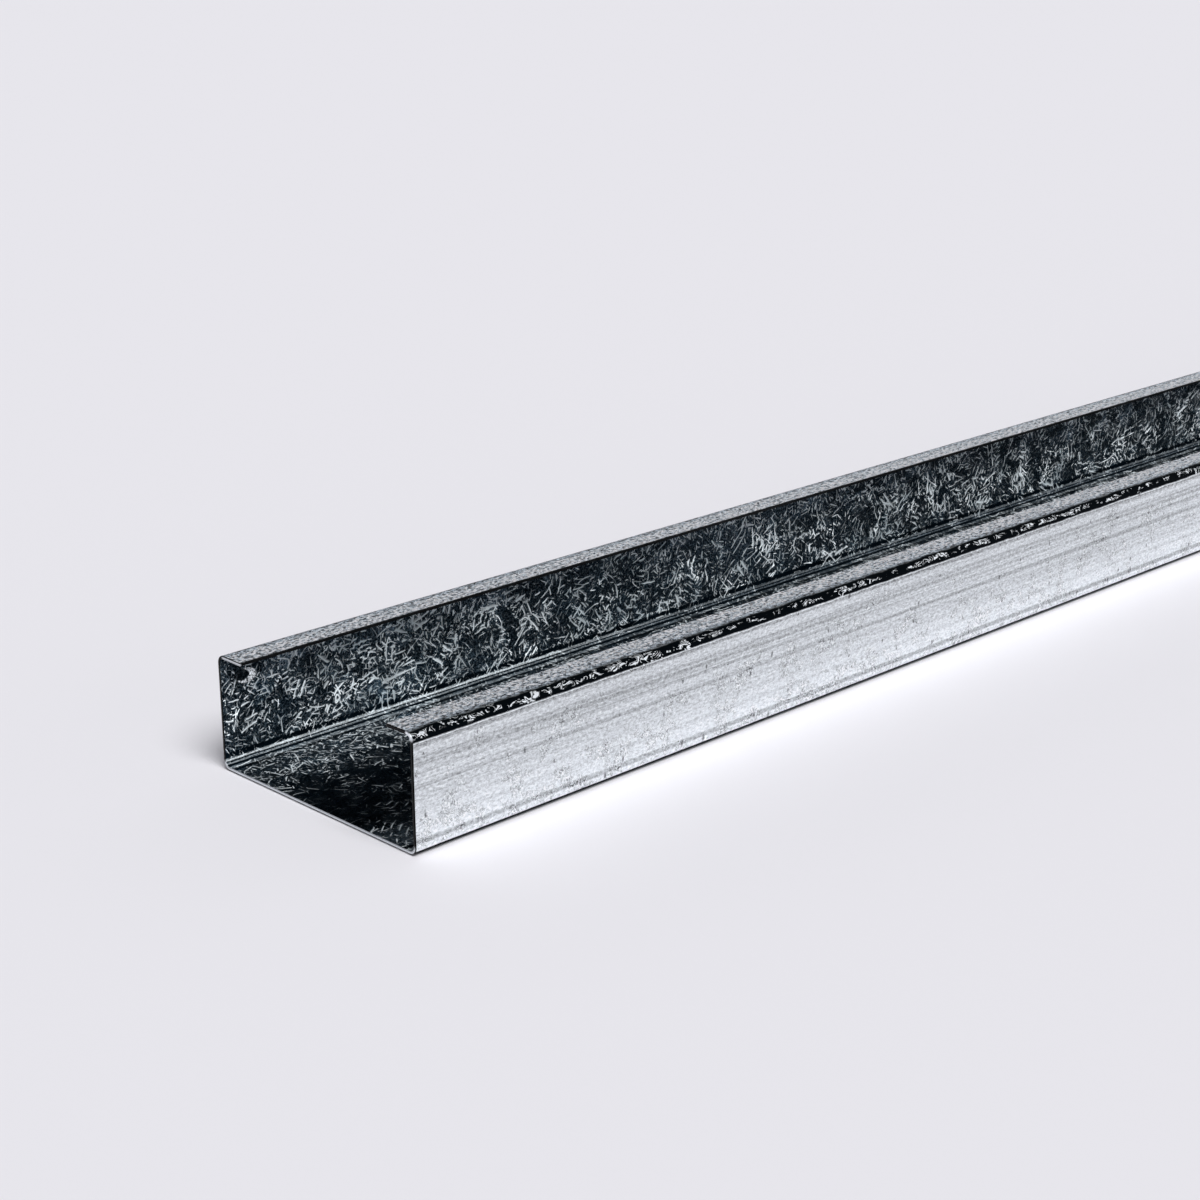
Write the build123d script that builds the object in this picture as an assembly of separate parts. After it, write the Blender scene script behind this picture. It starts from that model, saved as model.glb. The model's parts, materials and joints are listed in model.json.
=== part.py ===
from build123d import *
import os

# A roll-formed steel wall stud, lying on the outside of its web with the open side up.
# Lengths are in millimetres. The origin is the middle of the web's underside. The stud
# runs along X, its flanges stand at the two ends of Y, and the lips close in over the
# open side at the top.

# Driving dimensions of the rolled section, all measured over the outside of the sheet
web_width = 101.6
flange_height = 41.275
lip_depth = 12.7
sheet_thickness = 1.146
inside_bend_radius = 1.808

# Stock length, as sold
stud_length = 2438.4

# Service punchouts: round-ended slots along the middle of the web, for pipes and cables.
# They are stepped from the end of the stud that is set down on the floor.
punchout_length = 101.6
punchout_width = 38.1
punchout_spacing = 609.6
punchout_end_distance = 304.8


def section():
    """The sheet's cut end at the near end of the stud: its outside followed from lip tip to
    lip tip as straights and tangent bends, then given its thickness inwards."""
    side = web_width / 2
    lip_tip = side - lip_depth
    corners = [
        (lip_tip, flange_height),
        (side, flange_height),
        (side, 0),
        (-side, 0),
        (-side, flange_height),
        (-lip_tip, flange_height),
    ]
    with BuildSketch(Plane.YZ.offset(-stud_length / 2)) as sheet_end:
        with BuildLine():
            outside = FilletPolyline(*corners, radius=inside_bend_radius + sheet_thickness)
            offset(outside, amount=sheet_thickness, side=Side.RIGHT)
        make_face()
    return sheet_end.sketch


def punchout_positions():
    """Distances of the punchouts' centres from the middle of the stud: one at the end
    distance, then one every spacing for as long as the far end keeps its distance too."""
    run = stud_length - 2 * punchout_end_distance
    count = int(run / punchout_spacing + 1e-6) + 1
    first = -stud_length / 2 + punchout_end_distance
    return [first + i * punchout_spacing for i in range(count)]


def punchouts():
    """The punched slots as solids that stand through both faces of the web."""
    slot = SlotOverall(punchout_length, punchout_width)
    reach = 2 * sheet_thickness
    return [extrude(Pos(x, 0) * slot, amount=reach, both=True) for x in punchout_positions()]


def stud():
    """The section drawn out to the stock length, then the punchouts cut through the web."""
    return extrude(section(), amount=stud_length) - punchouts()


os.makedirs("parts", exist_ok=True)
export_step(stud(), "parts/stud.step")
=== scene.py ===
"""A roll-formed galvanised steel wall stud, lying on the outside of its web in a pale studio.

Lengths in this file are metres, except where a name says millimetres. The stud's skin is worked
out on the flat strip that it is rolled from: x runs along the stud, w across the strip from the
near lip's tip to the far lip's tip with 0 at the middle of the web, and d goes in from the outside
of the section through the sheet.
"""

import json
import math

import bpy
import numpy as np
from bpy.props import FloatProperty, FloatVectorProperty, PointerProperty
from mathutils import Matrix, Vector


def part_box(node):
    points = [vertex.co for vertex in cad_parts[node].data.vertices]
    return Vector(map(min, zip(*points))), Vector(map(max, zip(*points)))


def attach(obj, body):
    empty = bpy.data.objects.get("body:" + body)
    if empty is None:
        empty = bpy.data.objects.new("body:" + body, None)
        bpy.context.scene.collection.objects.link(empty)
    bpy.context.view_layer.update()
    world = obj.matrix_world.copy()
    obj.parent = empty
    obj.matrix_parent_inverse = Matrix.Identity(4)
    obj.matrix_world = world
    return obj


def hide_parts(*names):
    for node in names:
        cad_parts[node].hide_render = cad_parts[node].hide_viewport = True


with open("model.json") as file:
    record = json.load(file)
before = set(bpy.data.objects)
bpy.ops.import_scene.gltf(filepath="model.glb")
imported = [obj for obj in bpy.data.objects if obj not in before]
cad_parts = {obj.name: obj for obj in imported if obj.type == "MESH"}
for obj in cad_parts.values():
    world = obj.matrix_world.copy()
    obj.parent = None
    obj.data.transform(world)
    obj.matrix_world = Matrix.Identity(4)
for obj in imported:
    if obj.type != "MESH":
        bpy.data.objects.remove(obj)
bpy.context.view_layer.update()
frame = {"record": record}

bl_info = {
    "name": "Steel Stud",
    "version": (1, 0, 0),
    "blender": (4, 5, 0),
    "location": "View3D > Sidebar > Steel Stud",
    "description": "Rolls a galvanised steel stud out of a flat strip and sets it in a studio",
    "category": "Object",
}

MM = 0.001
STUD_LOW, STUD_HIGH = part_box("stud")
SLOT_ROWS = [m for m in frame["record"]["mounts"] if m["name"].startswith("punchouts")]
SLOT_PLACES = sorted(s * m["dims"]["spacing_x_mm"] / 2 * MM for m in SLOT_ROWS for s in (-1, 1))
PHOTO_PIXELS = 1200

# Numbers of the materials on the mesh, by the side of the sheet that a face is on
OUTSIDE, INSIDE, EDGE = 0, 1, 2

# Half sizes of the block of faces round each slot, and the pitch of the mesh's columns in the
# blocks and between them
BLOCK_LENGTH = 66.3 * MM
BLOCK_WIDTH = 28.0 * MM
BLOCK_PITCH = 5.1 * MM
OPEN_PITCH = 10.4 * MM

# The rings round a sheared edge: their inset from the strip's edge, and their depth, for the
# first four from the outside, where the edge is rolled over, and for the last three from the
# inside, where it is sharper. SUPPORT is how far in the next row of points lies.
EDGE_INSET = np.array([0.24, 0.11, 0.035, 0.0, 0.0, 0.03, 0.12]) * MM
EDGE_DEPTH = np.array([0.0, 0.02, 0.075, 0.19, -0.086, -0.026, 0.0]) * MM
SUPPORT = 0.5 * MM

# A knock in the far flange near its end, which shows inside as a hollow painted darker as shade, with a
# painted highlight on its bright crescent
DENT_X = STUD_LOW.x + 10.2 * MM
DENT_W = 80.2 * MM
DENT_SPREAD = (4.2 * MM, 2.7 * MM)
DENT_DEPTH = 0.45 * MM

# Dull lines that the rolls drew along the flanges: strength, distance below the flange's top and
# half width, both in mm
ROLL_LINES = (
    (0.20, 6.05, 0.9),
    (0.14, 10.75, 0.8),
    (0.20, 15.25, 1.0),
    (0.09, 18.25, 0.9),
    (0.07, 23.05, 1.0),
    (0.11, 27.45, 0.9),
    (0.40, 33.65, 1.3),
    (0.08, 35.75, 0.5),
)

# Width of the camera's sensor in mm, as Blender gives it
SENSOR_WIDTH = 36.0

# The floor lies a little below the stud, so that the line of shadow between them is dark
FLOOR_LEVEL = -0.32 * MM


class StudSizes(bpy.types.PropertyGroup):
    """Sizes of the rolled section and of the slots punched in its web."""

    length: FloatProperty(
        name="Length",
        description="Stock length of the stud",
        default=STUD_HIGH.x - STUD_LOW.x,
        unit="LENGTH",
    )
    web_width: FloatProperty(
        name="Web width",
        description="Width over the outsides of the two flanges",
        default=STUD_HIGH.y - STUD_LOW.y,
        unit="LENGTH",
    )
    flange_height: FloatProperty(
        name="Flange height",
        description="Height over the outsides of the web and the lips",
        default=STUD_HIGH.z - STUD_LOW.z,
        unit="LENGTH",
    )
    lip_depth: FloatProperty(
        name="Lip depth",
        description="From the outside of a flange to the tip of its lip",
        default=12.7 * MM,
        unit="LENGTH",
    )
    thickness: FloatProperty(
        name="Sheet thickness",
        description="Thickness of the strip, its zinc included",
        default=1.146 * MM,
        unit="LENGTH",
    )
    bend_radius: FloatProperty(
        name="Inside bend radius",
        description="Radius on the inside of the four bends",
        default=1.808 * MM,
        unit="LENGTH",
    )
    slot_length: FloatProperty(
        name="Slot length",
        description="Length of a punched slot over its round ends",
        default=SLOT_ROWS[0]["dims"]["slot_length_mm"] * MM,
        unit="LENGTH",
    )
    slot_width: FloatProperty(
        name="Slot width",
        description="Width of a punched slot",
        default=2 * SLOT_ROWS[0]["dims"]["hole_r_mm"] * MM,
        unit="LENGTH",
    )
    flange_wave: FloatProperty(
        name="Flange wave",
        description="How far the flats of the flanges and lips wander inwards along the stud",
        default=0.12 * MM,
        unit="LENGTH",
    )


class StudFinish(bpy.types.PropertyGroup):
    """Colours and roughness of the zinc and of the sheared edges."""

    outside_zinc: FloatVectorProperty(
        name="Rolled zinc",
        description="Zinc on the outside, burnished by the rolls",
        default=(0.650, 0.678, 0.693),
        subtype="COLOR",
        min=0.0,
        max=1.0,
    )
    # The lips are the same zinc as the flanges; their brighter, bluer colour is painted light that makes
    # up for the dark ceiling they reflect
    lip_lit_zinc: FloatVectorProperty(
        name="Lip zinc",
        description="Duller zinc on the outside of the lips",
        default=(0.745, 0.885, 1.0),
        subtype="COLOR",
        min=0.0,
        max=1.0,
    )
    # Near black over the bends: a painted reflection of the dark ceiling over the lips' bends, and painted
    # shade under the web's bends
    bend_painted_dark: FloatVectorProperty(
        name="Worked bend",
        description="Zinc drawn dark over the lips' bends",
        default=(0.0015, 0.0025, 0.0035),
        subtype="COLOR",
        min=0.0,
        max=1.0,
    )
    bend_fleck: FloatVectorProperty(
        name="Bend flecks",
        description="Flecks of zinc left bright over the lips' bends",
        default=(0.93, 0.98, 1.0),
        subtype="COLOR",
        min=0.0,
        max=1.0,
    )
    # The inside's colours are far darker than the outside's zinc: partly the crystals' own contrast,
    # partly painted shade of the channel's inside
    spangle_ground: FloatVectorProperty(
        name="Spangle ground",
        description="Dark zinc between the crystals on the inside",
        default=(0.005, 0.013, 0.021),
        subtype="COLOR",
        min=0.0,
        max=1.0,
    )
    spangle_middle: FloatVectorProperty(
        name="Spangle middle",
        description="Middle grey of the crystals on the inside",
        default=(0.210, 0.286, 0.348),
        subtype="COLOR",
        min=0.0,
        max=1.0,
    )
    spangle_bright: FloatVectorProperty(
        name="Spangle needles",
        description="Bright feathered needles of the crystals on the inside",
        default=(0.92, 0.975, 1.0),
        subtype="COLOR",
        min=0.0,
        max=1.0,
    )
    bare_steel: FloatVectorProperty(
        name="Bare steel",
        description="Sheared edges where the steel shows under the zinc",
        default=(0.64, 0.67, 0.70),
        subtype="COLOR",
        min=0.0,
        max=1.0,
    )
    roll_roughness: FloatProperty(
        name="Rolled roughness",
        description="Roughness of the outside",
        default=0.40,
        subtype="FACTOR",
        min=0.0,
        max=1.0,
    )
    spangle_roughness: FloatProperty(
        name="Spangle roughness",
        description="Roughness of the inside",
        default=0.42,
        subtype="FACTOR",
        min=0.0,
        max=1.0,
    )


class StudStudio(bpy.types.PropertyGroup):
    """The floor, the light and the camera."""

    floor_colour: FloatVectorProperty(
        name="Floor",
        description="Colour of the floor, which the surroundings take near the horizon",
        default=(0.807, 0.799, 0.838),
        subtype="COLOR",
        min=0.0,
        max=1.0,
    )
    ceiling_colour: FloatVectorProperty(
        name="Ceiling",
        description="Colour of the surroundings overhead",
        default=(0.012, 0.014, 0.017),
        subtype="COLOR",
        min=0.0,
        max=1.0,
    )
    backdrop_top: FloatProperty(
        name="Backdrop top",
        description="Elevation up to which the surroundings keep the floor's colour",
        default=math.radians(22),
        subtype="ANGLE",
    )
    ceiling_start: FloatProperty(
        name="Ceiling start",
        description="Elevation from which the surroundings have the ceiling's colour",
        default=math.radians(30),
        subtype="ANGLE",
    )
    sun_strength: FloatProperty(
        name="Lamp strength",
        description="Light of the soft lamp overhead",
        default=3.2,
    )
    sun_spread: FloatProperty(
        name="Lamp spread",
        description="Angle that the soft lamp fills",
        default=math.radians(38),
        subtype="ANGLE",
    )
    sun_from: FloatVectorProperty(
        name="Lamp direction",
        description="Direction from the stud towards the soft lamp",
        default=(-0.18, -0.56, 0.81),
        subtype="DIRECTION",
    )
    camera_focal: FloatProperty(
        name="Focal length",
        description="Focal length of the camera in widths of its frame",
        default=2285.4 / PHOTO_PIXELS,
    )
    camera_place: FloatVectorProperty(
        name="Camera place",
        description="Camera from the near end's lower near corner, in widths of the web",
        default=(-4.039, -4.9683, 2.9476),
    )
    camera_turn: FloatVectorProperty(
        name="Camera turn",
        description="Heading from the +Y axis towards +X, dip below the horizon, and roll",
        default=(math.radians(44.176), math.radians(18.401), math.radians(0.298)),
        subtype="EULER",
        unit="ROTATION",
    )


class Value:
    """A socket of a node tree. Arithmetic on it adds the Math nodes for it."""

    def __init__(self, graph, socket):
        self.graph = graph
        self.socket = socket

    def __add__(self, other):
        return self.graph.math("ADD", self, other)

    __radd__ = __add__

    def __sub__(self, other):
        return self.graph.math("SUBTRACT", self, other)

    def __rsub__(self, other):
        return self.graph.math("SUBTRACT", other, self)

    def __mul__(self, other):
        return self.graph.math("MULTIPLY", self, other)

    __rmul__ = __mul__

    def __truediv__(self, other):
        return self.graph.math("DIVIDE", self, other)

    def __abs__(self):
        return self.graph.math("ABSOLUTE", self)


class Graph:
    """A node tree that is written as expressions."""

    def __init__(self, tree):
        self.tree = tree
        tree.nodes.clear()

    def node(self, kind, settings=None, inputs=None, out=0):
        """Adds a node: its settings first, then the values or links of its sockets."""
        made = self.tree.nodes.new(kind)
        for name, value in (settings or {}).items():
            setattr(made, name, value)
        for name, value in (inputs or {}).items():
            if isinstance(value, Value):
                self.tree.links.new(value.socket, made.inputs[name])
            else:
                made.inputs[name].default_value = value
        return Value(self, made.outputs[out]) if len(made.outputs) else made

    def more(self, value, out):
        """Another output of the node that value comes from."""
        return Value(self, value.socket.node.outputs[out])

    def math(self, operation, *operands, clamp=False):
        settings = {"operation": operation, "use_clamp": clamp}
        return self.node("ShaderNodeMath", settings, dict(enumerate(operands)))

    def clamp(self, value):
        return self.math("ADD", value, 0.0, clamp=True)

    def step(self, value, low, high):
        """Smooth step: 0 below low, 1 above high and 3t^2 - 2t^3 between them."""
        return self.node(
            "ShaderNodeMapRange",
            {"interpolation_type": "SMOOTHSTEP"},
            {"Value": value, "From Min": low, "From Max": high},
        )

    def fade(self, value, low, high):
        """The same step turned round: 1 below low and 0 above high."""
        return 1.0 - self.step(value, low, high)

    def line(self, value, middle, half):
        """One on a line of a value, zero from half to either side of it."""
        return self.fade(abs(value - middle), 0.35 * half, half)

    def largest(self, first, *others):
        for other in others:
            first = self.math("MAXIMUM", first, other)
        return first

    def mix(self, share, a, b):
        """The colour a where share is 0, the colour b where it is 1."""
        inputs = {0: share, 6: self.colour(a), 7: self.colour(b)}
        return self.node("ShaderNodeMix", {"data_type": "RGBA"}, inputs, out=2)

    def scale_colour(self, colour, factor):
        """A colour times a value."""
        grey = self.node("ShaderNodeCombineColor", {}, {0: factor, 1: factor, 2: factor})
        inputs = {0: 1.0, 6: self.colour(colour), 7: grey}
        return self.node("ShaderNodeMix", {"data_type": "RGBA", "blend_type": "MULTIPLY"}, inputs, out=2)

    def colour(self, c):
        return c if isinstance(c, Value) else (*tuple(c)[:3], 1.0)

    def vector(self, operation, *operands, out=0):
        return self.node(
            "ShaderNodeVectorMath", {"operation": operation}, dict(enumerate(operands)), out=out
        )

    def scale_vector(self, vector, factor):
        return self.node("ShaderNodeVectorMath", {"operation": "SCALE"}, {0: vector, "Scale": factor})

    def split(self, vector):
        """The three parts of a vector."""
        first = self.node("ShaderNodeSeparateXYZ", {}, {0: vector})
        return first, self.more(first, 1), self.more(first, 2)

    def join(self, x, y, z=0.0):
        return self.node("ShaderNodeCombineXYZ", {}, {0: x, 1: y, 2: z})

    def attribute(self, name):
        return self.node("ShaderNodeAttribute", {"attribute_name": name}, out="Vector")

    def noise(self, vector, scale, detail=2.0, roughness=0.5, warp=0.0, out=0):
        inputs = {
            "Vector": vector,
            "Scale": scale,
            "Detail": detail,
            "Roughness": roughness,
            "Distortion": warp,
        }
        return self.node("ShaderNodeTexNoise", {"noise_dimensions": "2D"}, inputs, out)

    def streaks(self, vector, along, across, detail=3.0, roughness=0.6, warp=0.0):
        """Noise with a scale of its own along the first axis and along the second."""
        stretched = self.vector("MULTIPLY", vector, (along, across, 0.0))
        return self.noise(stretched, 1.0, detail, roughness, warp)

    def drift(self, vector, scale, detail=2.0, roughness=0.5):
        """A noise of vectors, each part of them between -0.5 and 0.5."""
        colour = self.noise(vector, scale, detail, roughness, out="Color")
        return self.vector("SUBTRACT", colour, (0.5, 0.5, 0.5))

    def cells(self, vector, scale, out="Distance", feature="F1"):
        inputs = {"Vector": vector, "Scale": scale}
        settings = {"voronoi_dimensions": "2D", "feature": feature}
        return self.node("ShaderNodeTexVoronoi", settings, inputs, out)

    def tilted(self, lean):
        """The surface's normal, leant over by a vector."""
        facing = self.node("ShaderNodeNewGeometry", {}, {}, out="Normal")
        return self.vector("NORMALIZE", self.vector("ADD", facing, lean))

    def bump(self, height, distance, strength=1.0, normal=None):
        inputs = {"Height": height, "Distance": distance, "Strength": strength}
        if normal is not None:
            inputs["Normal"] = normal
        return self.node("ShaderNodeBump", {}, inputs)


def drawn_material(name, draw, *given):
    """A material whose surface is drawn by draw(graph, *given), which gives its inputs."""
    material = bpy.data.materials.new(name)
    material.use_nodes = True
    graph = Graph(material.node_tree)
    surface = graph.node("ShaderNodeBsdfPrincipled", {}, draw(graph, *given))
    graph.node("ShaderNodeOutputMaterial", {}, {"Surface": surface})
    return material


class Section:
    """The section on the flat strip: where its flats and bends begin, from the web's middle out."""

    def __init__(self, sizes):
        self.outer = sizes.bend_radius + sizes.thickness
        self.middle = sizes.bend_radius + sizes.thickness / 2
        self.half_web = sizes.web_width / 2
        self.height = sizes.flange_height
        bend = self.middle * math.pi / 2
        runs = [
            self.half_web - self.outer,
            bend,
            self.height - 2 * self.outer,
            bend,
            sizes.lip_depth - self.outer,
        ]
        self.marks = np.cumsum(runs)
        self.half = self.marks[-1]

    def rolled(self, x, w, d):
        """Where the strip's point (x, w, d) lies when the strip is rolled.

        With a = |w| and the marks a1 to a4 where flats and bends meet, a bend turns by
        t = (a - mark) / middle radius about its centre, at the outer radius less d:
        web y = a, z = d; first bend y = c + r sin t, z = R - r cos t; flange y = W/2 - d,
        z = R + a - a2; second bend y = c + r cos t, z = H - R + r sin t; lip
        y = c - (a - a4), z = H - d. The sign of w gives the side.
        """
        a = np.abs(w)
        a1, a2, a3, a4, _ = self.marks
        r = self.outer - d
        c = self.half_web - self.outer
        t1 = (a - a1) / self.middle
        t2 = (a - a3) / self.middle
        where = [a <= a1, a <= a2, a <= a3, a <= a4]
        y = np.select(where, [a, c + r * np.sin(t1), self.half_web - d, c + r * np.cos(t2)], c - (a - a4))
        top = self.height - self.outer
        z = np.select(
            where,
            [d, self.outer - r * np.cos(t1), self.outer + a - a2, top + r * np.sin(t2)],
            self.height - d,
        )
        return np.stack([x, np.where(w < 0, -y, y), z], axis=-1)

    def sag(self, x, w, wave):
        """How far the sheet lies inwards of the true section: two long waves along each flange,
        which die away as sin^2 towards its bends, one along each lip, which grows with the square
        of the distance from its bend, and the knock in the far flange, whose profile is
        exp(-r^4) for a distance r in spreads from its middle."""
        a = np.abs(w)
        _, a2, a3, a4, a5 = self.marks
        flange = np.sin(np.pi * np.clip((a - a2) / (a3 - a2), 0, 1)) ** 2
        lip = np.clip((a - a4) / (a5 - a4), 0, 1) ** 2
        side = np.sign(w)
        long_wave = 0.5 + 0.3 * np.sin(x / 0.083 + 1.1 * side) + 0.2 * np.sin(x / 0.031 + 2.3 * side)
        lip_wave = 0.5 + 0.5 * np.sin(x / 0.119 + 0.7 * side)
        sag = wave * (flange * long_wave + 0.8 * lip * lip_wave)
        gap = np.hypot((x - DENT_X) / DENT_SPREAD[0], (w - DENT_W) / DENT_SPREAD[1])
        return sag + DENT_DEPTH * np.exp(-(gap**4))


class StripMesh:
    """Points of the strip and the faces on them, gathered as arrays."""

    def __init__(self):
        self.points = []
        self.faces = []
        self.count = 0

    def add(self, x, w, d, map_x=None, map_w=None):
        """Adds an array of points and gives their numbers in the same arrangement. map_x and
        map_w are where they lie on the flat strip when its edges are folded out."""
        x, w, d = np.broadcast_arrays(x, w, d)
        map_x = x if map_x is None else map_x
        map_w = w if map_w is None else map_w
        flat = [np.ravel(np.broadcast_to(v, x.shape)) for v in (x, w, d, map_x, map_w)]
        self.points.append(np.stack(flat, axis=1))
        ids = self.count + np.arange(x.size).reshape(x.shape)
        self.count += x.size
        return ids

    def quads(self, a, b, c, d, kind):
        quads = np.stack([np.ravel(v) for v in (a, b, c, d)], axis=1)
        self.faces.append(np.column_stack([quads, np.full(len(quads), kind)]))

    def band(self, first, second, kind, flip):
        """Faces between two closed rings of points of the same number."""
        ends = [first, np.roll(first, -1), np.roll(second, -1), second]
        self.quads(*(ends[::-1] if flip else ends), kind)


def columns(sizes, block_half):
    """Places of the mesh's columns along the stud: close together round each slot, wider
    between them, and close again by the near end, where the dent is."""
    ends = [-sizes.length / 2]
    for place in SLOT_PLACES:
        ends += [place - block_half, place + block_half]
    ends.append(sizes.length / 2)
    runs = []
    for number, (start, stop) in enumerate(zip(ends[:-1], ends[1:])):
        pitch = BLOCK_PITCH if number % 2 else OPEN_PITCH
        runs.append(np.linspace(start, stop, max(2, round((stop - start) / pitch)) + 1))
    close_length = 24 * MM
    least_gap = 4 * MM
    near_end = np.linspace(ends[0], ends[0] + close_length, 17)
    later = np.concatenate(runs)
    later = later[later > near_end[-1] + least_gap]
    return np.unique(np.round(np.concatenate([near_end, later]), 9))


def rows(section):
    """Places of the mesh's rows across the strip: eight in each bend, a close row on each side
    of it so that its shine ends there, and even ones on the flats."""
    a1, a2, a3, a4, a5 = section.marks
    close = 0.6 * MM
    half = np.concatenate([
        np.linspace(0, BLOCK_WIDTH, 9),
        np.linspace(BLOCK_WIDTH, a1 - close, 6)[1:],
        np.linspace(a1, a2, 9),
        np.linspace(a2 + close, a3 - close, 17),
        np.linspace(a3, a4, 9),
        np.linspace(a4 + close, a5 - SUPPORT, 5),
        [a5],
    ])
    return np.concatenate([-half[:0:-1], half])


def perimeter(grid, i0, i1, j0, j1):
    """The numbers round a rectangle of a grid, in turn, starting along its first side."""
    return np.concatenate([
        grid[i0:i1, j0],
        grid[i1, j0:j1],
        grid[i1:i0:-1, j1],
        grid[i0, j1:j0:-1],
    ])


def slot_ring(place, x, w, reach, sizes):
    """The ring at one distance round a slot: each point of the block's edge is moved along the
    line to the nearest point of the slot's middle line, to that distance from it."""
    straight = (sizes.slot_length - sizes.slot_width) / 2
    middle = place + np.clip(x - place, -straight, straight)
    away = np.stack([x - middle, w])
    away = away / np.linalg.norm(away, axis=0)
    return middle + away[0] * reach, away[1] * reach


def held(values, limit, inset):
    """Values kept at least an inset inside plus and minus the limit."""
    return np.clip(values, -limit + inset, limit - inset)


def held_out(values, limit, inset):
    """The same, with the first and last of them at the inset itself, which is outside the limit
    where the inset is negative."""
    outermost = np.isclose(np.abs(values), limit)
    return np.where(outermost, np.sign(values) * (limit - inset), held(values, limit, max(inset, 0)))


def stud_strip(sizes):
    """The whole skin on the flat strip: a grid for each face of the sheet with a block left out
    round each slot, rings that lead from the block to the slot, and rings round all edges."""
    section = Section(sizes)
    strip = StripMesh()
    base_x = columns(sizes, BLOCK_LENGTH)
    base_w = rows(section)
    half_x = sizes.length / 2
    radius = sizes.slot_width / 2
    depths = EDGE_DEPTH + np.repeat([0.0, sizes.thickness], [4, 3])
    unrolled = np.concatenate([[0], np.cumsum(np.hypot(np.diff(EDGE_INSET), np.diff(depths)))])
    fold = EDGE_INSET[0] - unrolled
    edge_x = np.insert(base_x, [1, len(base_x) - 1], [-half_x + SUPPORT, half_x - SUPPORT])
    whole = (0, len(edge_x) - 1, 0, len(base_w) - 1)

    block_w = np.flatnonzero(np.isclose(np.abs(base_w), BLOCK_WIDTH))
    blocks = []
    for place in SLOT_PLACES:
        sides = np.flatnonzero(np.isclose(np.abs(edge_x - place), BLOCK_LENGTH))
        blocks.append((place, sides[0], sides[-1], block_w[0], block_w[-1]))

    outer_rings = {}
    slot_rings = {}
    for kind, inset, depth in ((OUTSIDE, EDGE_INSET[0], depths[0]), (INSIDE, EDGE_INSET[-1], depths[-1])):
        x, w = np.meshgrid(held(edge_x, half_x, inset), held(base_w, section.half, inset), indexing="ij")
        unfolded = fold[-1] if kind == INSIDE else inset
        map_x, map_w = np.meshgrid(
            held_out(edge_x, half_x, unfolded), held_out(base_w, section.half, unfolded), indexing="ij"
        )
        ids = strip.add(x, w, depth, map_x, map_w)
        keep = np.ones((len(edge_x) - 1, len(base_w) - 1), bool)
        for place, i0, i1, j0, j1 in blocks:
            keep[i0:i1, j0:j1] = False
            ring = perimeter(ids, i0, i1, j0, j1)
            ring_x = perimeter(x, i0, i1, j0, j1)
            ring_w = perimeter(w, i0, i1, j0, j1)
            near_x, near_w = slot_ring(place, ring_x, ring_w, radius + SUPPORT, sizes)
            for share in (0.3, 0.6, 0.85, 1.0):
                between = strip.add(
                    ring_x + (near_x - ring_x) * share, ring_w + (near_w - ring_w) * share, depth
                )
                strip.band(ring, between, kind, kind == OUTSIDE)
                ring = between
            at_x, at_w = slot_ring(place, ring_x, ring_w, radius + inset, sizes)
            map_at = slot_ring(place, ring_x, ring_w, radius + unfolded, sizes)
            last = strip.add(at_x, at_w, depth, *map_at)
            strip.band(ring, last, kind, kind == OUTSIDE)
            slot_rings[place, kind] = (last, ring_x, ring_w)
        cells = [ids[:-1, :-1], ids[1:, :-1], ids[1:, 1:], ids[:-1, 1:]]
        cells = [c[keep] for c in (cells[::-1] if kind == OUTSIDE else cells)]
        strip.quads(*cells, kind)
        outer_rings[kind] = perimeter(ids, *whole)

    def through(ring, last, at, map_at, flip):
        """Rings through the sheet, from one round its outside to the last one, on its inside."""
        for inset, depth, unfolded in list(zip(EDGE_INSET, depths, fold))[1:-1]:
            step = strip.add(*at(inset), depth, *map_at(unfolded))
            strip.band(ring, step, EDGE, flip)
            ring = step
        strip.band(ring, last, EDGE, flip)

    x, w = (perimeter(side, *whole) for side in np.meshgrid(edge_x, base_w, indexing="ij"))
    through(
        outer_rings[OUTSIDE],
        outer_rings[INSIDE],
        lambda inset: (held(x, half_x, inset), held(w, section.half, inset)),
        lambda inset: (held_out(x, half_x, inset), held_out(w, section.half, inset)),
        False,
    )
    for place in SLOT_PLACES:
        ring, x, w = slot_rings[place, OUTSIDE]

        def at(inset):
            return slot_ring(place, x, w, radius + inset, sizes)

        through(ring, slot_rings[place, INSIDE][0], at, at, True)
    return section, strip


def bake_map(points, faces, section, sizes):
    """The face corners' places on the unit square: four bands, one above the other, which are
    the near and the far half of the outside with its folded-out edges, then of the inside."""
    margin = 3 * MM
    corner = faces[:, :4]
    kind = faces[:, 4]
    inside = kind == INSIDE
    map_x = np.where(inside[:, None], points[corner, 0], points[corner, 3])
    map_w = np.where(inside[:, None], points[corner, 1], points[corner, 4])
    far_half = points[corner, 0].mean(axis=1) > 0
    half = sizes.length / 2
    u = (map_x + np.where(far_half, 0, half)[:, None] + margin) / (half + 2 * margin)
    across = (map_w + section.half + margin) / (2 * section.half + 2 * margin)
    band = far_half + 2 * inside
    return np.stack([u, (band[:, None] + across) / 4], axis=-1)


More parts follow.
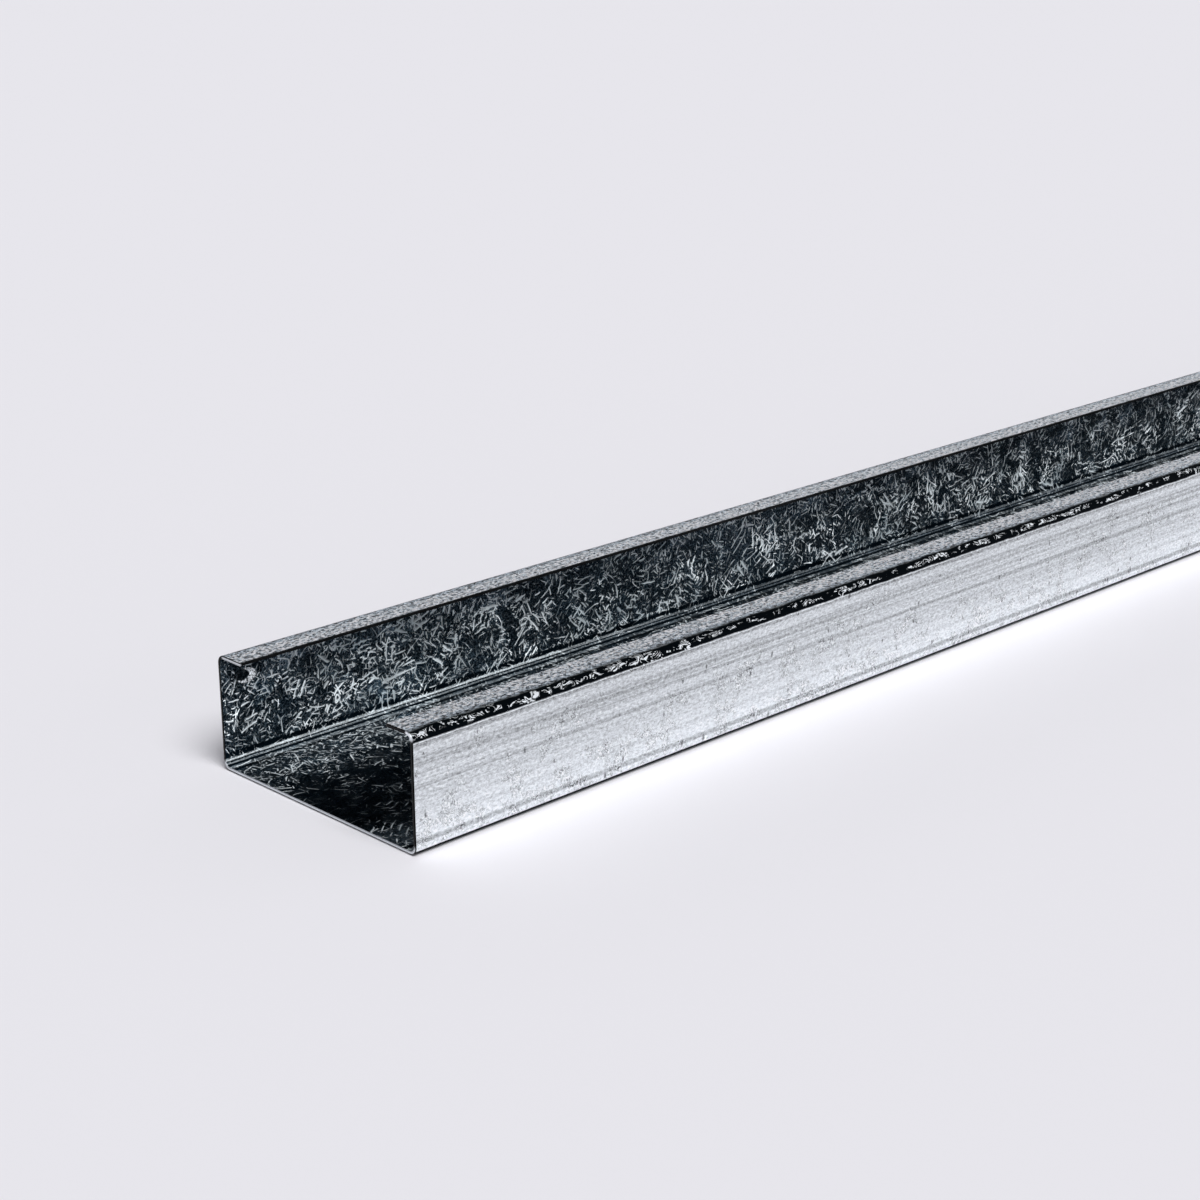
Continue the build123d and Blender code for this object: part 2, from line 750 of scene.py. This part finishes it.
def make_stud(sizes, materials):
    """The stud as one closed skin with its finishes."""
    section, strip = stud_strip(sizes)
    points = np.concatenate(strip.points)
    faces = np.concatenate(strip.faces)
    used, corner = np.unique(faces[:, :4], return_inverse=True)
    points = points[used]
    faces = np.column_stack([corner.reshape(-1, 4), faces[:, 4]])
    x, w, d = points[:, :3].T
    places = section.rolled(x, w, d + section.sag(x, w, sizes.flange_wave))

    mesh = bpy.data.meshes.new("steel_stud")
    mesh.vertices.add(len(places))
    mesh.vertices.foreach_set("co", places.astype(np.float32).ravel())
    mesh.loops.add(faces[:, :4].size)
    mesh.loops.foreach_set("vertex_index", faces[:, :4].astype(np.int32).ravel())
    mesh.polygons.add(len(faces))
    mesh.polygons.foreach_set("loop_start", np.arange(0, faces[:, :4].size, 4, dtype=np.int32))
    mesh.polygons.foreach_set("material_index", faces[:, 4].astype(np.int32))
    mesh.polygons.foreach_set("use_smooth", np.ones(len(faces), bool))
    place = mesh.attributes.new("strip", "FLOAT_VECTOR", "POINT")
    place.data.foreach_set("vector", (points[:, :3] / MM).astype(np.float32).ravel())
    bake = mesh.uv_layers.new(name="OFBake")
    square = bake_map(points, faces, section, sizes)
    bake.data.foreach_set("uv", square.astype(np.float32).ravel())
    for material in materials:
        mesh.materials.append(material)
    mesh.update(calc_edges=True)
    if mesh.validate():
        raise RuntimeError("the stud's skin has faulty faces")
    stud = bpy.data.objects.new("steel_stud", mesh)
    bpy.context.collection.objects.link(stud)
    return stud


def spangle(graph, place, cell, pitch, length, bend, seed):
    """Crystal blades. The strip is cut into cells, and each cell has its own direction. Across
    that direction, a saw wave of one pitch gives blades with a bright rib beside one edge and a
    softer body that fades to the dark before the next one; along it they curve as y^2, and their
    width follows a noise of their own, so that they taper to points. Gives the blades and three
    random numbers for each cell."""
    shifted = graph.vector("ADD", place, (seed * 37.7, seed * 61.3, 0.0))
    wander = graph.drift(shifted, 1.3 / cell, 3.0)
    warped = graph.vector("ADD", shifted, graph.scale_vector(wander, 1.1 * cell))
    random = graph.cells(warped, 1.0 / cell, "Color")
    local = graph.vector("SUBTRACT", shifted, graph.more(random, "Position"))
    first, second, third = graph.split(random)
    turn = {"Vector": local, "Angle": first * math.tau}
    turned = graph.node("ShaderNodeVectorRotate", {"rotation_type": "Z_AXIS"}, turn)
    across, along, _ = graph.split(turned)
    curve = (second - 0.5) * (4.0 * bend / (cell * cell))
    across = across + curve * along * along + 1.2 * graph.split(wander)[0]
    # Odd factors keep the noises of the cells and of their rows apart
    phase = across / pitch + second * 57.0
    row = graph.math("FLOOR", phase)
    saw = phase - row
    ends = graph.join(along / length + row * 5.31 + third * 43.0, row * 3.7 + second * 31.0)
    wide, strong, _ = graph.split(graph.noise(ends, 1.0, 0.0, out="Color"))
    width = 0.90 * graph.step(wide, 0.44, 0.60)
    body = graph.fade(saw, 0.05, width + 0.06)
    rib = graph.fade(abs(saw - 0.14), 0.06, 0.115)
    blade = (0.46 * body + 0.54 * rib) * graph.step(saw, 0.0, 0.08) * graph.step(width, 0.04, 0.18)
    return blade * (0.15 + 0.95 * graph.step(strong, 0.35, 0.58)), first, second, third


def patch(graph, place, middle, half):
    """One inside an ellipse of a middle and half sizes, in mm on the strip, and zero round it."""
    away = graph.vector("SUBTRACT", place, (*middle, 0.0))
    away = graph.vector("MULTIPLY", away, (1 / half[0], 1 / half[1], 0.0))
    return graph.fade(graph.vector("LENGTH", away, out="Value"), 0.85, 1.1)


def draw_inside(graph, finish, marks):
    """Zinc on the inside: feathered bright blades on a dark ground, darker than the outside partly
    as painted shade of the channel, in patches that are liveliest a few centimetres from the near
    end as painted light from the open end, darkened over the web's near half as painted shade and
    smoother there, lines of painted shade and painted highlight along the web's bends, and the knock
    in the far flange with painted shade in its hollow and a painted highlight on its crescent."""
    web_edge, flange_foot, _, _, _ = marks
    place = graph.attribute("strip")
    x, w, _ = graph.split(place)
    past_web = abs(w) - web_edge
    past_foot = abs(w) - flange_foot
    from_end = x - STUD_LOW.x / MM

    large, tone_a, tone_b, tone_c = spangle(graph, place, 6.4, 2.5, 6.0, 1.2, 1.0)
    small, tone_d, tone_e, _ = spangle(graph, place, 4.0, 1.7, 4.0, 0.8, 2.0)
    long, tone_g, tone_h, _ = spangle(graph, place, 9.5, 2.8, 11.0, 1.8, 4.0)
    middling, _, tone_m, _ = spangle(graph, place, 5.2, 2.0, 4.8, 1.0, 7.0)
    warped = graph.vector("ADD", place, graph.scale_vector(graph.drift(place, 0.33), 5.0))
    crystal_edge = graph.cells(warped, 0.30, feature="DISTANCE_TO_EDGE")
    shown = graph.noise(place, 0.55, 2.0, 0.6)
    outline = graph.fade(crystal_edge, 0.015, 0.055) * graph.step(shown, 0.40, 0.62)
    mottle = graph.noise(place, 0.10, 3.0, 0.6)
    grain = graph.noise(place, 1.2, 3.0, 0.8)
    drawn = graph.streaks(place, 0.09, 2.6, roughness=0.7)
    rub = graph.streaks(place, 0.05, 1.6)

    # Random patches with painted light: brighter for some centimetres from the near end, where light comes
    # in at the open end, and dimmer over the first 28 mm
    patchy_and_end_light = mottle + 0.35 * (tone_c - 0.5) + 0.12 * graph.fade(from_end, 40.0, 180.0)
    patchy_and_end_light = graph.step(patchy_and_end_light, 0.38, 0.66) * (0.35 + 0.65 * graph.step(from_end, 4.0, 28.0))
    corner = graph.fade(from_end, 6.0, 24.0) * graph.fade(w, -34.0, -18.0)
    # Painted shade over the web's near half, where the near flange and lip shade it, lifted at the corner
    # by the near end; the zinc is also smoother there
    smooth = graph.fade(w, 2.0, 36.0) * graph.step(w, -47.0, -38.0) * (1.0 - corner)
    # A paler ground along the web's near edge
    paler_near_strip = graph.fade(w, -36.0, -22.0) * graph.step(w, -47.8, -44.0)
    bend = graph.step(past_web, -0.25, 0.55) * graph.fade(past_foot, 0.0, 1.0)

    strokes = graph.largest(
        large * (0.35 + tone_b),
        small * (0.2 + 1.1 * tone_e),
        middling * (0.3 + tone_m),
        1.2 * long * graph.step(tone_g, 0.45, 0.7),
        0.66 * outline,
    )
    strokes = strokes * (0.47 + 0.6 * patchy_and_end_light) * (1.0 - 0.6 * smooth)
    broken = graph.step(drawn, 0.40, 0.54)
    # Painted shade in lines along the web's bends inside
    painted_shade = graph.largest(
        graph.line(past_web, 1.25, 0.8),
        0.7 * graph.line(past_foot, 1.71, 1.1),
        graph.line(past_web, 2.95, 0.35) * broken,
        graph.line(past_web, -2.85, 1.2) * graph.step(rub, 0.40, 0.52),
    )
    # Painted highlights in lines along the web's bends inside
    lit = 0.55 * graph.line(past_web, -0.95, 1.4) + 0.40 * graph.line(past_web, 2.15, 0.6)
    lit = lit * (0.2 + 0.8 * broken) * (0.55 + 0.45 * graph.step(grain, 0.40, 0.56))
    ground = (0.6 * tone_d + 0.08) * (0.16 + 0.50 * patchy_and_end_light) + 3.4 * (grain - 0.5)
    ground = ground - 0.5 * smooth + 0.16 * paler_near_strip + 0.6 * strokes
    ground = graph.clamp(ground + 1.5 * (drawn - 0.5) * bend + lit - 1.2 * painted_shade)
    colour = graph.mix(ground, finish.spangle_ground, finish.spangle_middle)

    foot_line = graph.line(past_foot, 0.06, 0.75)
    foot_shine = 0.4 * graph.step(rub, 0.26, 0.46) + 0.6 * broken * graph.step(grain, 0.38, 0.52)
    # burnished holds painted highlights: a bright line at each flange's foot and the lit lines, fading
    # away from the near end
    faded = 0.35 + 0.65 * graph.fade(from_end, 110.0, 240.0)
    burnished = faded * graph.largest(1.2 * foot_line * foot_shine, lit)
    strokes = strokes * (1.0 - 0.5 * bend) * (1.0 - 0.85 * painted_shade)

    # The knock's hollow is painted darker as shade, and its crescent is painted bright as a highlight,
    # helped by a tilted normal and a lower roughness
    knock = graph.vector("SUBTRACT", place, (DENT_X / MM, DENT_W / MM, 0.0))
    hollow = patch(graph, knock, (-2.0, 0.5), (3.1, 2.0))
    crescent = patch(graph, knock, (0.0, -0.2), [spread / MM for spread in DENT_SPREAD])
    crescent = crescent * (1.0 - hollow) * graph.step(grain, 0.40, 0.50)
    bright = graph.clamp(graph.largest(strokes * 3.5 - 0.78, burnished))
    bright = graph.largest(bright * (1.0 - 0.9 * hollow), crescent)
    colour = graph.scale_colour(colour, 1.0 - 0.6 * hollow)

    facet = graph.vector("SUBTRACT", graph.join(tone_a, tone_e, tone_h), (0.5, 0.5, 0.5))
    loose = (1.0 - 0.8 * smooth) * (1.0 - bend) * (1.0 - crescent)
    upwards = 0.42 * crescent + 0.5 * graph.clamp(burnished) + 0.16 * bright * loose
    lean = graph.scale_vector(facet, (0.5 + 0.5 * bright) * loose)
    normal = graph.tilted(graph.vector("ADD", lean, graph.join(0.0, 0.0, upwards)))
    rough = finish.spangle_roughness + 0.30 * bright + 0.16 * (grain - 0.5) - 0.14 * smooth
    return {
        "Base Color": graph.mix(bright, colour, finish.spangle_bright),
        "Metallic": 1.0,
        "Specular Tint": (0.5, 0.5, 0.5, 1.0),
        "Roughness": rough - 0.58 * crescent + 0.1 * foot_line,
        "Normal": graph.bump(strokes + 0.25 * grain, 0.08 * MM, 0.8, normal),
    }


def draw_outside(graph, finish, marks):
    """Zinc on the outside: pale and streaked along the stud by the rolls, with pits and worn
    spangle on the flats, grainy on the lips, painted near black with bright flecks over the lips'
    bends as a painted reflection of the dark ceiling, and painted shade where the web's bends turn
    away from the floor. The flanges are painted lighter towards their foot and carry a painted
    glint and painted shade along their top; the lips have a painted lighter colour and painted
    shade by their bends."""
    web_edge, _, flange_top, lip_root, _ = marks
    place = graph.attribute("strip")
    x, w, _ = graph.split(place)
    a = abs(w)
    past_web = a - web_edge
    past_top = a - flange_top
    past_root = a - lip_root
    from_end = x - STUD_LOW.x / MM
    wander = 2.2 * (graph.streaks(place, 0.07, 0.3) - 0.5)
    ragged_top = past_top + 0.45 * wander

    wide_streak = graph.streaks(place, 0.003, 0.16)
    streak = graph.streaks(place, 0.004, 0.75)
    fine_streak = graph.streaks(place, 0.012, 2.2)
    grain = graph.noise(place, 0.9, 4.0, 0.85)
    speck = graph.noise(graph.join(0.5 * x + 0.45 * w, 1.1 * w - 0.2 * x), 1.0, 3.0, 0.8)
    curl = graph.noise(place, 0.75, 2.0, 0.6, warp=1.6)
    mottle = graph.noise(place, 0.06, 3.0, 0.6)
    worn, _, _, tone = spangle(graph, place, 4.4, 1.5, 2.6, 0.9, 3.0)
    scaly = graph.step(mottle - 0.006 * (past_top + 13.95), 0.47, 0.60) * graph.step(tone, 0.2, 0.6)
    squeezed = graph.vector("MULTIPLY", place, (1.0, 0.62, 0.0))
    pit = graph.cells(graph.vector("ADD", squeezed, graph.drift(place, 0.9)), 0.095)
    pit_there, pit_wide, _ = graph.split(graph.more(pit, "Color"))
    pits = graph.fade(pit, 0.02, 0.04 + 0.05 * pit_wide) * graph.step(pit_there, 0.40, 0.5)
    blemish = graph.largest(pits, scaly * graph.step(speck, 0.53, 0.60))
    # Painted highlight: a glint along the top of the flanges, where they start to turn into the bend
    painted_top_glint = graph.step(ragged_top, -1.15, -0.85) * graph.fade(ragged_top, -0.75, -0.45)
    rolled = 0.22 * graph.line(past_top, -7.75, 1.1) * graph.step(fine_streak, 0.30, 0.55)
    # Painted shade just below the flanges' top, leading into the dark bend, so that rolled holds roll
    # lines and painted shade
    rolled = rolled + 0.32 * graph.step(past_top, -2.75, -1.55)
    for strength, below, half in ROLL_LINES:
        rolled = rolled + strength * graph.line(past_top, -below, half)
    upper = graph.step(past_top, -26.95, -12.95)
    shade = (
        1.12
        # painted light: the flanges are lighter towards their foot
        + 0.18 * graph.fade(past_top, -31.95, -14.95)
        + 0.18 * (wide_streak - 0.5)
        - 0.15 * graph.step(streak, 0.50, 0.62) * (0.35 + 0.65 * upper)
        + 0.60 * (fine_streak - 0.5) * (0.5 + 0.5 * upper)
        + 1.10 * (grain - 0.5)
        + 1.60 * (speck - 0.5)
        + 3.0 * (curl - 0.5) * scaly
        + 0.55 * painted_top_glint
        - 1.4 * rolled
    )
    shade = shade * (1.0 - 0.4 * blemish) * (1.0 - 0.5 * pits)
    colour = graph.scale_colour(finish.outside_zinc, shade)

    lip = graph.step(past_root, -1.09, -0.09)
    pebble = graph.noise(graph.join(0.36 * x + 0.2 * a, 0.9 * a - 0.1 * x), 1.0, 3.0, 0.75)
    brush = graph.streaks(place, 0.05, 1.5, 4.0)
    blotch = graph.streaks(place, 0.10, 0.32)
    lip_shade = 1.29 + 9.0 * (pebble - 0.5) + 1.4 * (brush - 0.5) + 2.2 * (blotch - 0.5)
    # Painted shade: the lips darken towards their bends
    lip_shade = lip_shade * (0.25 + 0.75 * graph.step(past_root + 2.0 * (pebble - 0.5), -0.79, 4.11))
    lip_shade = lip_shade * (1.0 - 0.2 * graph.line(past_root, 4.81, 1.0))
    colour = graph.mix(lip, colour, graph.scale_colour(finish.lip_lit_zinc, lip_shade))

    # Painted reflection of the dark ceiling over the lips' bends (over_top), and painted shade where the
    # web's bends turn to the floor (under)
    over_top = graph.step(ragged_top, -0.65, -0.25) * graph.fade(past_root + 0.7 * wander, -0.89, 0.11)
    under = graph.step(past_web, -1.05, -0.25) * graph.fade(past_web + 0.1 * wander, 2.45, 2.75)
    # worked holds both painted dark bands, the painted reflection and the painted shade
    worked = graph.largest(over_top, under)
    crack_tone, _, _ = graph.split(graph.cells(place, 0.3, "Color"))
    cluster = graph.streaks(place, 0.085, 0.35, 2.0) + 0.35 * (crack_tone - 0.5)
    # More flecks towards the near end
    near_end_flecks = 0.06 * graph.fade(from_end, 90.0, 170.0) + 0.25 * graph.fade(from_end, 3.0, 8.0)
    crown = graph.fade(abs(past_top + 0.9 * wander - 1.45), 0.45, 1.15)
    swirl = graph.streaks(place, 0.30, 0.60, 1.0, 0.5, warp=0.9)
    loops = graph.fade(abs(swirl - 0.50), 0.020, 0.040)
    curls = graph.largest(loops, graph.step(swirl, 0.63, 0.69))
    fleck = curls * graph.step(cluster + 0.22 * (crown - 0.6) + near_end_flecks, 0.545, 0.625) * over_top
    fleck = fleck * graph.largest(crown, graph.step(crack_tone, 0.75, 0.85))
    colour = graph.mix(worked, colour, graph.mix(fleck, finish.bend_painted_dark, finish.bend_fleck))

    outwards = graph.join(0.0, graph.math("SIGN", w) * fleck * 0.8)
    scatter = graph.scale_vector(graph.drift(place, 0.8, 3.0, 0.8), 1.9 * lip * (1.0 - worked))
    normal = graph.tilted(graph.vector("ADD", outwards, scatter))
    height = grain * 0.35 + worn * 0.8 * scaly + streak * 0.4 - blemish * 2.4
    return {
        "Base Color": colour,
        "Metallic": 1.0 - graph.largest(under, 0.85 * over_top * (1.0 - fleck)),
        "Roughness": finish.roll_roughness + 0.14 * (grain - 0.5) - 0.10 * lip + 0.4 * under,
        "Specular IOR Level": 0.0,
        "Normal": graph.bump(height, 0.05 * MM, 0.7, normal),
    }


def draw_edge(graph, finish, marks):
    """Cut edges: sheared steel round the ends and the slots, bright over the web and the far lip, with
    painted shade up the flanges and along the near lip's end, a painted highlight over the near
    lip's bend, the zinc drawn dark over the edge that the shear entered, and painted shade along
    the slit edges of the lips."""
    _, flange_foot, flange_top, lip_root, lip_tip = marks
    x, w, d = graph.split(graph.attribute("strip"))
    a = abs(w)
    past_top = a - flange_top
    past_root = a - lip_root
    run = graph.join(x + w, d)
    drag = graph.streaks(run, 3.0, 0.6)
    pits = graph.noise(run, 5.0, 3.0, 0.7)
    torn = graph.step(d, 0.62, 0.80)
    far = graph.step(w, -1.0, 1.0)
    # Painted highlight on the cut edge over the near lip's bend
    corner = (1.0 - far) * graph.step(past_top, -0.45, 0.55) * graph.fade(past_root, 0.11, 0.61)
    drawn = graph.fade(d, 0.26, 0.42) * (1.0 - 0.7 * corner)
    # Painted shade along the slit edges of the lips
    slit = graph.step(a - lip_tip, -0.54, -0.29) * graph.fade(abs(x) - STUD_HIGH.x / MM, -1.0, -0.4)
    # Painted shade up the flanges' cut edges and along the near lip's end
    painted_shade = graph.largest(
        graph.step(a - flange_foot, -1.09, 0.91) * graph.fade(past_top - 3.0 * far, -0.45, 1.05),
        graph.step(past_root, -0.09, 0.91) * (1.0 - far),
    )
    shade = 1.0 - 0.15 * torn + 0.4 * (drag - 0.5) - 0.4 * torn * graph.step(pits, 0.52, 0.7)
    shade = shade * (1.0 - 0.93 * graph.largest(drawn, slit)) * (1.0 - 0.985 * painted_shade)
    return {
        "Base Color": graph.scale_colour(finish.bare_steel, shade * (1.0 + 0.4 * corner)),
        "Metallic": 1.0,
        "Roughness": 0.30 + 0.22 * torn,
        "Normal": graph.bump(drag * 0.4 + torn * pits, 0.04 * MM, 0.6),
    }


def draw_paper(graph, colour):
    """Plain pale paper without gloss."""
    return {"Base Color": graph.colour(colour), "Roughness": 1.0, "Specular IOR Level": 0.0}


def make_floor(colour):
    """A round floor: rings whose radius doubles from one to the next, so it is fine where the
    stud lies and reaches the horizon."""
    radii = np.concatenate([[0.0], 0.25 * 2.0 ** np.arange(11)])
    turns = np.linspace(0, 2 * np.pi, 49)[:-1]
    radius, turn = np.meshgrid(radii[1:], turns, indexing="ij")
    height = np.full_like(turn, FLOOR_LEVEL)
    ring_points = np.stack([radius * np.cos(turn), radius * np.sin(turn), height], -1)
    points = np.concatenate([[[0.0, 0.0, FLOOR_LEVEL]], ring_points.reshape(-1, 3)])
    ids = 1 + np.arange(radius.size).reshape(radius.shape)
    after = np.roll(ids, -1, axis=1)
    quads = np.stack([ids[:-1], ids[1:], after[1:], after[:-1]], -1).reshape(-1, 4)
    middle = np.stack([np.zeros_like(ids[0]), ids[0], after[0]], -1)
    mesh = bpy.data.meshes.new("floor")
    mesh.from_pydata(points.tolist(), [], middle.tolist() + quads.tolist())
    mesh.materials.append(drawn_material("pale_floor", draw_paper, colour))
    floor = bpy.data.objects.new("floor", mesh)
    bpy.context.collection.objects.link(floor)
    return floor


def light_world(studio):
    """Surroundings by elevation: the floor's colour up to the top of the backdrop, then a smooth
    fall to the dark ceiling."""
    world = bpy.data.worlds.new("studio")
    world.use_nodes = True
    graph = Graph(world.node_tree)
    direction = graph.node("ShaderNodeTexCoord", {}, {}, out="Generated")
    _, _, up = graph.split(graph.vector("NORMALIZE", direction))
    share = graph.step(up, math.sin(studio.backdrop_top), math.sin(studio.ceiling_start))
    colour = graph.mix(share, studio.floor_colour, studio.ceiling_colour)
    light = graph.node("ShaderNodeBackground", {}, {"Color": colour, "Strength": 1.0})
    graph.node("ShaderNodeOutputWorld", {}, {"Surface": light})
    bpy.context.scene.world = world


def make_lamp(studio):
    """One soft lamp that fills a wide angle overhead."""
    lamp = bpy.data.lights.new("soft_lamp", "SUN")
    lamp.energy = studio.sun_strength
    lamp.angle = studio.sun_spread
    holder = bpy.data.objects.new("soft_lamp", lamp)
    bpy.context.collection.objects.link(holder)
    towards = studio.sun_from.normalized()
    holder.rotation_mode = "QUATERNION"
    holder.rotation_quaternion = towards.to_track_quat("Z", "Y")
    holder.location = towards * 3.0


def make_camera(studio):
    """The camera: fwd = (sin h cos p, cos h cos p, -sin p) for heading h and dip p, its right
    hand level and then rolled about fwd."""
    heading, dip, roll = studio.camera_turn
    forward = np.array([
        math.sin(heading) * math.cos(dip), math.cos(heading) * math.cos(dip), -math.sin(dip)
    ])
    level = np.array([math.cos(heading), -math.sin(heading), 0.0])
    down = np.cross(forward, level)
    right = math.cos(roll) * level + math.sin(roll) * down
    down = np.cross(forward, right)
    width = STUD_HIGH.y - STUD_LOW.y
    corner = np.array([STUD_LOW.x, STUD_LOW.y, STUD_LOW.z])
    place = corner + np.array(studio.camera_place) * width
    data = bpy.data.cameras.new("camera")
    data.sensor_width = SENSOR_WIDTH
    data.lens = SENSOR_WIDTH * studio.camera_focal
    data.clip_start = 0.02
    data.clip_end = 400.0
    camera = bpy.data.objects.new("camera", data)
    bpy.context.collection.objects.link(camera)
    turn = np.eye(4)
    turn[:3, :3] = np.stack([right, -down, -forward], axis=1)
    turn[:3, 3] = place
    camera.matrix_world = Matrix(turn.tolist())
    bpy.context.scene.camera = camera


class STUD_OT_studio(bpy.types.Operator):
    """Set up the floor, the light and the camera"""

    bl_idname = "stud.studio"
    bl_label = "Studio"

    def execute(self, context):
        studio = context.scene.stud_studio
        make_camera(studio)
        make_floor(studio.floor_colour)
        light_world(studio)
        make_lamp(studio)
        context.scene.view_settings.view_transform = "Standard"
        return {"FINISHED"}


class STUD_OT_roll(bpy.types.Operator):
    """Roll the steel stud in place of its plain solid"""

    bl_idname = "stud.roll"
    bl_label = "Steel stud"

    def execute(self, context):
        sizes = context.scene.stud_sizes
        marks = (Section(sizes).marks / MM).tolist()
        finishes = {"zinc_outside": draw_outside, "zinc_inside": draw_inside, "sheared_steel": draw_edge}
        materials = [
            drawn_material(name, draw, context.scene.stud_finish, marks) for name, draw in finishes.items()
        ]
        piece = make_stud(sizes, materials)
        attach(piece, "root")
        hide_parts("stud")
        return {"FINISHED"}


class STUD_PT_panel(bpy.types.Panel):
    """The stud's sizes, finish and studio"""

    bl_idname = "STUD_PT_panel"
    bl_label = "Steel Stud"
    bl_space_type = "VIEW_3D"
    bl_region_type = "UI"
    bl_category = "Steel Stud"

    def draw(self, context):
        for name, label in (("stud_sizes", "Sizes"), ("stud_finish", "Finish"), ("stud_studio", "Studio")):
            box = self.layout.box()
            box.label(text=label)
            group = getattr(context.scene, name)
            for prop in group.bl_rna.properties:
                if prop.identifier not in ("rna_type", "name"):
                    box.prop(group, prop.identifier)
        self.layout.operator(STUD_OT_studio.bl_idname)
        self.layout.operator(STUD_OT_roll.bl_idname)


CLASSES = (StudSizes, StudFinish, StudStudio, STUD_OT_studio, STUD_OT_roll, STUD_PT_panel)


def register():
    for cls in CLASSES:
        bpy.utils.register_class(cls)
    bpy.types.Scene.stud_sizes = PointerProperty(type=StudSizes)
    bpy.types.Scene.stud_finish = PointerProperty(type=StudFinish)
    bpy.types.Scene.stud_studio = PointerProperty(type=StudStudio)


def unregister():
    del bpy.types.Scene.stud_studio
    del bpy.types.Scene.stud_finish
    del bpy.types.Scene.stud_sizes
    for cls in reversed(CLASSES):
        bpy.utils.unregister_class(cls)


def main():
    register()
    bpy.ops.stud.studio()
    bpy.ops.stud.roll()


if __name__ == "__main__":
    main()
